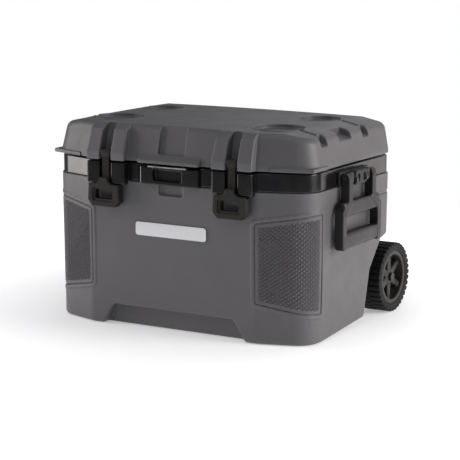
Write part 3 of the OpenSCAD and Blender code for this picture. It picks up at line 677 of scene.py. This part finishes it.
# ---------------------------------------------------------------- materials
class Nodes:
    """Short calls for the node trees below."""

    def __init__(self, name):
        self.mat = bpy.data.materials.new(name)
        self.mat.use_nodes = True
        self.tree = self.mat.node_tree
        self.shader = self.tree.nodes["Principled BSDF"]
        self.coords = self.add("ShaderNodeTexCoord").outputs["Object"]

    def add(self, kind, **values):
        node = self.tree.nodes.new(kind)
        for key, value in values.items():
            if key in node.inputs:
                node.inputs[key].default_value = value
            else:
                setattr(node, key, value)
        return node

    def link(self, a, b):
        self.tree.links.new(a, b)

    def noise(self, scale, detail=4.0, rough=0.55, stretch=None):
        node = self.add("ShaderNodeTexNoise", Scale=scale, Detail=detail, Roughness=rough)
        source = self.coords
        if stretch is not None:
            mapping = self.add("ShaderNodeMapping", Scale=stretch)
            self.link(source, mapping.inputs["Vector"])
            source = mapping.outputs["Vector"]
        self.link(source, node.inputs["Vector"])
        return node.outputs["Fac"]

    def voronoi(self, scale):
        node = self.add("ShaderNodeTexVoronoi", Scale=scale)
        self.link(self.coords, node.inputs["Vector"])
        return node.outputs["Distance"]

    def ramp(self, value, stops):
        node = self.add("ShaderNodeValToRGB")
        self.link(value, node.inputs["Fac"])
        bar = node.color_ramp.elements
        while len(bar) < len(stops):
            bar.new(0.5)
        for element, (at, colour) in zip(bar, stops):
            element.position = at
            element.color = tuple(colour) + (1,) if hasattr(colour, "__len__") else (colour,) * 3 + (1,)
        return node.outputs["Color"]

    def remap(self, value, lo, hi, new_lo, new_hi):
        node = self.add("ShaderNodeMapRange")
        for key, number in zip(("From Min", "From Max", "To Min", "To Max"), (lo, hi, new_lo, new_hi)):
            node.inputs[key].default_value = number
        self.link(value, node.inputs["Value"])
        return node.outputs["Result"]

    def mix(self, factor, a, b):
        node = self.add("ShaderNodeMix", data_type="RGBA")
        self.link(factor, node.inputs["Factor"])
        for socket, value in ((node.inputs[6], a), (node.inputs[7], b)):
            if hasattr(value, "is_linked"):
                self.link(value, socket)
            else:
                socket.default_value = tuple(value) + (1,)
        return node.outputs[2]

    def edges(self):
        """1 on convex edges, 0.5 on flats: used to pale the edges, partly as rubbed wear and partly as a
        painted edge highlight.
        """
        node = self.add("ShaderNodeNewGeometry")
        return node.outputs["Pointiness"]

    def bump(self, layers):
        """Bump layers given as (height, distance in metres, strength)."""
        normal = None
        for height, distance, strength in layers:
            node = self.add("ShaderNodeBump", Distance=distance, Strength=strength)
            self.link(height, node.inputs["Height"])
            if normal is not None:
                self.link(normal, node.inputs["Normal"])
            normal = node.outputs["Normal"]
        self.link(normal, self.shader.inputs["Normal"])

    def set(self, **values):
        for key, value in values.items():
            self.shader.inputs[key.replace("_", " ")].default_value = value


def linear(r, g, b):
    """An 8-bit screen colour as linear light."""
    return tuple(c / 255 / 12.92 if c <= 10 else ((c / 255 + 0.055) / 1.055) ** 2.4 for c in (r, g, b))


def tint(colour, k):
    """A colour made k times as bright."""
    return tuple(min(1, c * k) for c in colour)


def moulded_plastic(name, colour, rough=(0.42, 0.56), grain=0.5, edge_wear_and_highlight=1.35, gloss=0.5, grain_size=900.0):
    """Textured moulded plastic: fine spark-eroded grain, faint clouding and paler convex edges, partly
    rubbed wear and partly a painted edge highlight.
    """
    n = Nodes(name)
    cloud = n.noise(9, 5, 0.6)
    fine = n.noise(grain_size, 3, 0.6)
    base = n.ramp(cloud, [(0.3, tint(colour, 0.93)), (0.7, tint(colour, 1.06))])
    speck = n.ramp(n.voronoi(grain_size * 0.5), [(0.0, tint(colour, 0.9)), (0.5, tint(colour, 1.05))])
    mixed = n.mix(n.remap(fine, 0.3, 0.7, 0.1, 0.5), base, speck)
    # paler convex edges: partly rubbed wear, partly a painted edge highlight
    rubbed_and_highlit_edges = n.remap(n.edges(), 0.505, 0.56, 0.0, 0.55)
    n.link(n.mix(rubbed_and_highlit_edges, mixed, tint(colour, edge_wear_and_highlight)), n.shader.inputs["Base Color"])
    n.link(n.remap(n.noise(22, 4, 0.6), 0.3, 0.7, rough[0], rough[1]), n.shader.inputs["Roughness"])
    n.bump([(fine, 0.0004, grain), (n.voronoi(grain_size * 0.7), 0.0003, grain * 0.6),
            (n.noise(14, 2, 0.5), 0.0012, 0.12)])
    n.set(Specular_IOR_Level=gloss)
    return n.mat


def gloss_plastic(name, colour):
    """Polished black band: a hard clear gloss with faint swirls, dust and slight waviness."""
    n = Nodes(name)
    dust = n.noise(380, 4, 0.7)
    base = n.ramp(dust, [(0.6, colour), (0.85, tint(colour, 1.25))])
    n.link(base, n.shader.inputs["Base Color"])
    n.link(n.remap(n.noise(30, 5, 0.65), 0.3, 0.75, 0.16, 0.28), n.shader.inputs["Roughness"])
    n.bump([(n.noise(12, 2, 0.4), 0.0012, 0.25), (n.noise(700, 2, 0.5), 0.0001, 0.04)])
    n.set(Specular_IOR_Level=0.5)
    return n.mat


def rubber(name, colour, rough=(0.6, 0.78), dust=1.7):
    """Matt rubber with a dusty bloom and fine pores."""
    n = Nodes(name)
    bloom = n.noise(26, 6, 0.65)
    base = n.ramp(bloom, [(0.32, tint(colour, 0.85)), (0.72, tint(colour, dust))])
    # paler convex edges: partly rubbed wear, partly a painted edge highlight
    rubbed_and_highlit_edges = n.remap(n.edges(), 0.505, 0.58, 0.0, 0.5)
    n.link(n.mix(rubbed_and_highlit_edges, base, tint(colour, 1.8)), n.shader.inputs["Base Color"])
    n.link(n.remap(bloom, 0.3, 0.7, rough[0], rough[1]), n.shader.inputs["Roughness"])
    n.bump([(n.noise(1100, 3, 0.6), 0.0003, 0.4), (n.voronoi(500), 0.0002, 0.25)])
    n.set(Specular_IOR_Level=0.35)
    return n.mat


def metal(name, colour, rough=(0.22, 0.36), stretch=(1, 1, 60), brush=260.0):
    """Brushed metal: fine scratches along the piece, smudges and a few deeper marks."""
    n = Nodes(name)
    scratch = n.noise(brush, 4, 0.7, stretch)
    smudge = n.noise(30, 5, 0.6)
    n.link(n.ramp(scratch, [(0.3, tint(colour, 0.82)), (0.7, tint(colour, 1.1))]),
           n.shader.inputs["Base Color"])
    n.link(n.remap(smudge, 0.3, 0.7, rough[0], rough[1]), n.shader.inputs["Roughness"])
    n.bump([(scratch, 0.0001, 0.35), (smudge, 0.0004, 0.08)])
    n.set(Metallic=1.0)
    return n.mat


def foam(name, colour):
    """Open-celled insulation."""
    n = Nodes(name)
    cells = n.voronoi(420)
    tone = n.ramp(cells, [(0.1, tint(colour, 0.8)), (0.6, tint(colour, 1.05))])
    n.link(tone, n.shader.inputs["Base Color"])
    n.bump([(cells, 0.0008, 0.7), (n.noise(60, 4), 0.001, 0.3)])
    n.set(Roughness=0.9)
    return n.mat


shell = moulded_plastic("shell", linear(88, 86, 89))
panel_finish = moulded_plastic("panel", linear(86, 84, 87), grain=0.35)
band_black = gloss_plastic("band", linear(17, 17, 18))
handle_black = moulded_plastic("handle", linear(13, 10, 9), rough=(0.34, 0.48), grain=0.3)
bracket_black = moulded_plastic("bracket", linear(24, 24, 25), rough=(0.4, 0.55), grain=0.3)
rim_grey = moulded_plastic("rim", linear(36, 34, 32), rough=(0.45, 0.6), grain=0.4)
nylon = moulded_plastic("nylon", linear(214, 212, 204), grain=0.2, edge_wear_and_highlight=1.02)
liner_grey = moulded_plastic("liner", linear(196, 200, 204), rough=(0.3, 0.42), grain=0.12, edge_wear_and_highlight=1.03)
button_red = moulded_plastic("button", linear(138, 34, 28), grain=0.2)
latch_rubber = rubber("latch", linear(29, 27, 24))
tyre_rubber = rubber("tyre", linear(7, 6, 6), dust=1.4)
seal_rubber = rubber("seal", linear(52, 53, 55))
feet_rubber = rubber("feet", linear(28, 28, 28))
steel = metal("steel", (0.60, 0.60, 0.61), stretch=(1, 40, 40))
black_screw = metal("blackened", (0.09, 0.09, 0.09), rough=(0.4, 0.55))
axle_steel = metal("axle", (0.55, 0.55, 0.56), stretch=(1, 50, 50))
aluminium = metal("aluminium", (0.72, 0.73, 0.75), rough=(0.28, 0.4), stretch=(60, 60, 1))
badge_metal = metal("badge", (0.74, 0.74, 0.76), rough=(0.3, 0.42), stretch=(1, 60, 60))
foam_cream = foam("foam", linear(216, 210, 176))


# ---------------------------------------------------------------- building the pieces
def finish_piece(ob, body, material, slot, *nodes):
    """Gives a piece its material and the body it rides on, and hides the CAD nodes it stands for; slot
    is not used.
    """
    ob.data.materials.clear()
    ob.data.materials.append(material)
    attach(ob, body)
    if nodes:
        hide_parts(*nodes)
    return ob


def both_sides(build, name, node, body, material, slot):
    """Builds a right-hand piece and its mirror image on the left."""
    for side, word in ((1, "right"), (-1, "left")):
        ob = build(f"{name}_{word}", side)
        target = body if body == "tub" else f"{body}_{word}"
        finish_piece(ob, target, material, slot, f"{node}_{word}")


def sided(f, lo, hi, step, keep):
    """A builder for moulded pieces given as their right-hand shape."""
    def build(name, side):
        if side > 0:
            return moulded(name, f, lo, hi, step, keep)
        return moulded(name, mirrored(f), (-hi[0], lo[1], lo[2]), (-lo[0], hi[1], hi[2]), step, keep)
    return build


# name, shape, lowest and highest corner, grid step, share of faces kept, body, finish, slot and CAD node
BIG_PIECES = (
    ("lid_top_shell", lid_shape, (-HALF_W - 4, BOSS_Y, LID_BOTTOM), (HALF_W + 4, BACK + 1, LID_TOP),
     2.0, 0.22, "lid", shell, "shell_grey", "lid_shell"),
    ("gloss_rim_band", band_shape, (-HALF_W, BOSS_Y, SHELL_TOP - BLOCK_DROP), (HALF_W, BACK, BAND_TOP),
     1.9, 0.3, "tub", band_black, "band_black", "rim_band"),
    ("tub_outer_shell", tub_shape, (-HALF_W, FRONT, 0), (HALF_W, WHEEL_Y + 21, SHELL_TOP),
     2.6, 0.22, "tub", shell, "shell_grey", "tub_shell"),
    ("tub_insulation", tub_foam_shape, (-HALF_W, FRONT, 0), (HALF_W, BACK, BAND_TOP),
     5.0, 0.2, "tub", foam_cream, "insulation", "tub_foam"),
    ("lid_insulation", lid_foam_shape, (-HALF_W, FRONT, LID_BOTTOM), (HALF_W, BACK, LID_TOP),
     4.5, 0.2, "lid", foam_cream, "insulation", "lid_foam"),
)
for name, shape, lo, hi, step, keep, body, material, slot, node in BIG_PIECES:
    finish_piece(moulded(name, shape, lo, hi, step, keep), body, material, slot, node)
for side, word in ((1, "right"), (-1, "left")):
    finish_piece(corner_panel(f"corner_grip_panel_{word}", side), "tub", panel_finish, "shell_grey")

latch_box = ((LATCH_X - 41, PULL_Y, PULL_LOW), (LATCH_X + 41, FRONT + 3, LATCH_Z + 8))
handle_box = ((HALF_W + 4, HANDLE_Y - 89, GRIP_LOW), (HANDLE_OUT, HANDLE_Y + 89, 342))
bracket_box = ((HALF_W - 4, HANDLE_Y - 65, 311), (HANDLE_OUT, HANDLE_Y + 65, 342))
tyre_box = ((WHEEL_X0 - 1, WHEEL_Y - WHEEL_R, WHEEL_Z - WHEEL_R),
            (WHEEL_X1 + 1, WHEEL_Y + WHEEL_R, WHEEL_Z + WHEEL_R))
rim_box = ((WHEEL_X0 + 2, WHEEL_Y - 58, WHEEL_Z - 58), (WHEEL_X1, WHEEL_Y + 58, WHEEL_Z + 58))
both_sides(sided(latch_shape, *latch_box, 0.9, 0.4),
           "rubber_latch", "latch", "latch", latch_rubber, "latch_rubber")
both_sides(sided(handle_shape, *handle_box, 1.1, 0.4),
           "carry_handle", "side_handle", "side_handle", handle_black, "handle_plastic")
both_sides(sided(bracket_shape, *bracket_box, 1.1, 0.4),
           "carry_handle_bracket", "handle_bracket", "tub", bracket_black, "black_plastic")
both_sides(sided(tyre_shape, *tyre_box, 1.5, 0.35),
           "treaded_tyre", "tyre", "wheel", tyre_rubber, "tyre")
both_sides(sided(rim_shape, *rim_box, 1.2, 0.35),
           "spoked_wheel_rim", "wheel_rim", "wheel", rim_grey, "rim_plastic")

# the pieces that keep their CAD shape: bevelled edges and their own finishes
KEPT = {
    "tub_liner": (liner_grey, "liner"), "lid_liner": (liner_grey, "liner"),
    "lock_plate": (steel, "stainless"), "badge": (badge_metal, "badge_plate"),
    "front_feet": (feet_rubber, "rubber_black"), "drain_gasket": (seal_rubber, "rubber_black"),
    "drain_plug": (bracket_black, "black_plastic"), "lid_gasket": (seal_rubber, "rubber_black"),
    "latch_pin": (steel, "stainless"), "handle_pin": (black_screw, "stainless"),
    "hinge_pin": (steel, "stainless"),
    "handle_screws": (black_screw, "stainless"), "hinge_screws": (steel, "stainless"),
    "tow_screws": (steel, "stainless"), "axle": (axle_steel, "stainless"),
    "axle_washers": (steel, "stainless"), "axle_cap": (bracket_black, "black_plastic"),
    "hinge": (bracket_black, "black_plastic"), "wheel_bush": (nylon, "bush_nylon"),
    "tow_sleeve": (aluminium, "tow_aluminium"), "tow_tube": (aluminium, "tow_aluminium"),
    "tow_bracket": (bracket_black, "black_plastic"), "tow_grip": (handle_black, "handle_plastic"),
    "tow_button": (button_red, "button_red"),
}
BEVEL = {"tow_grip": 3.0, "tow_bracket": 2.0, "hinge_lid": 1.2, "hinge_tub": 1.2, "badge": 0.6,
         "lock_plate": 0.6, "drain_plug": 1.0}


def longest(name, table):
    """The entry of a table whose key is the longest beginning of a node's name."""
    found = [k for k in table if name.startswith(k)]
    return table[max(found, key=len)] if found else None


for name, ob in sorted(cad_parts.items()):
    if ob.hide_render:
        continue
    material, slot = longest(name, KEPT)
    ob.data.materials.clear()
    ob.data.materials.append(material)
    bevel = ob.modifiers.new("bevel", "BEVEL")
    bevel.width = (longest(name, BEVEL) or 0.4) * MM
    bevel.segments = 2
    bevel.limit_method = "ANGLE"
    bevel.angle_limit = math.radians(35)
    bevel.harden_normals = True


# ---------------------------------------------------------------- camera, light and floor
def look_from(ob, target, azimuth, elevation, distance):
    a, e = math.radians(azimuth), math.radians(elevation)
    back = Vector((math.sin(a) * math.cos(e), -math.cos(a) * math.cos(e), math.sin(e)))
    ob.location = target + back * distance
    ob.rotation_euler = back.to_track_quat("Z", "Y").to_euler()


cam = bpy.data.objects.new("camera", bpy.data.cameras.new("camera"))
scene.collection.objects.link(cam)
cam.data.lens = 139.7
cam.data.clip_end = 50
look_from(cam, Vector((0.02413, MID_Y * MM, 0.18767)), 30.45, 10.51, 3.8134)
scene.camera = cam


def area_light(name, azimuth, elevation, distance, size, power, colour=(1, 1, 1)):
    data = bpy.data.lights.new(name, "AREA")
    data.shape = "RECTANGLE"
    data.size, data.size_y = size
    data.energy = power
    data.color = colour
    ob = bpy.data.objects.new(name, data)
    scene.collection.objects.link(ob)
    look_from(ob, Vector((0, 0, 0.2)), azimuth, elevation, distance)
    return ob


area_light("key_right", 98, 16, 2.4, (1.0, 1.4), 44, (1.0, 0.96, 0.93))
area_light("card_right", 150, 4, 2.3, (0.7, 1.7), 6, (1.0, 0.94, 0.9))
area_light("fill_left", -66, 10, 2.4, (0.8, 1.9), 28, (1.0, 0.95, 0.91))
area_light("front_soft", 10, 46, 3.2, (2.4, 1.0), 14, (0.96, 0.97, 1.0))
area_light("top_soft", 0, 86, 2.2, (2.2, 2.0), 8, (0.92, 0.94, 1.0))
area_light("back_soft", 185, 35, 3.0, (2.4, 1.4), 10)


def studio_world():
    """White to the camera, softer grey to the surfaces."""
    world = bpy.data.worlds.new("studio")
    scene.world = world
    world.use_nodes = True
    tree = world.node_tree
    path = tree.nodes.new("ShaderNodeLightPath")
    soft, white = tree.nodes["Background"], tree.nodes.new("ShaderNodeBackground")
    soft.inputs["Color"].default_value = (0.9, 0.93, 1.0, 1)
    soft.inputs["Strength"].default_value = 0.16
    white.inputs["Color"].default_value = (1, 1, 1, 1)
    white.inputs["Strength"].default_value = 1.0
    mix = tree.nodes.new("ShaderNodeMixShader")
    tree.links.new(path.outputs["Is Camera Ray"], mix.inputs[0])
    tree.links.new(soft.outputs[0], mix.inputs[1])
    tree.links.new(white.outputs[0], mix.inputs[2])
    tree.links.new(mix.outputs[0], tree.nodes["World Output"].inputs["Surface"])


FLOOR_R = 1.45


def studio_floor():
    me = bpy.data.meshes.new("floor")
    turns = [2 * math.pi * k / 96 for k in range(96)]
    me.from_pydata([(FLOOR_R * math.cos(t), FLOOR_R * math.sin(t), 0) for t in turns], [], [range(96)])
    ob = bpy.data.objects.new("floor", me)
    scene.collection.objects.link(ob)
    n = Nodes("floor")
    n.link(n.ramp(n.noise(3, 3), [(0.3, (0.93, 0.93, 0.94)), (0.7, (0.96, 0.96, 0.965))]),
           n.shader.inputs["Base Color"])
    # painted soft shadow round the cooler: the floor's glow is weaker near the middle and rises further
    # out
    away = n.add("ShaderNodeVectorMath", operation="LENGTH")
    n.link(n.coords, away.inputs[0])
    n.link(n.remap(away.outputs["Value"], 0.35, 0.95, 0.33, 0.75), n.shader.inputs["Emission Strength"])
    n.set(Roughness=0.55)
    n.shader.inputs["Emission Color"].default_value = (1, 1, 1, 1)
    me.materials.append(n.mat)


studio_world()
studio_floor()
scene.view_settings.view_transform = "Standard"
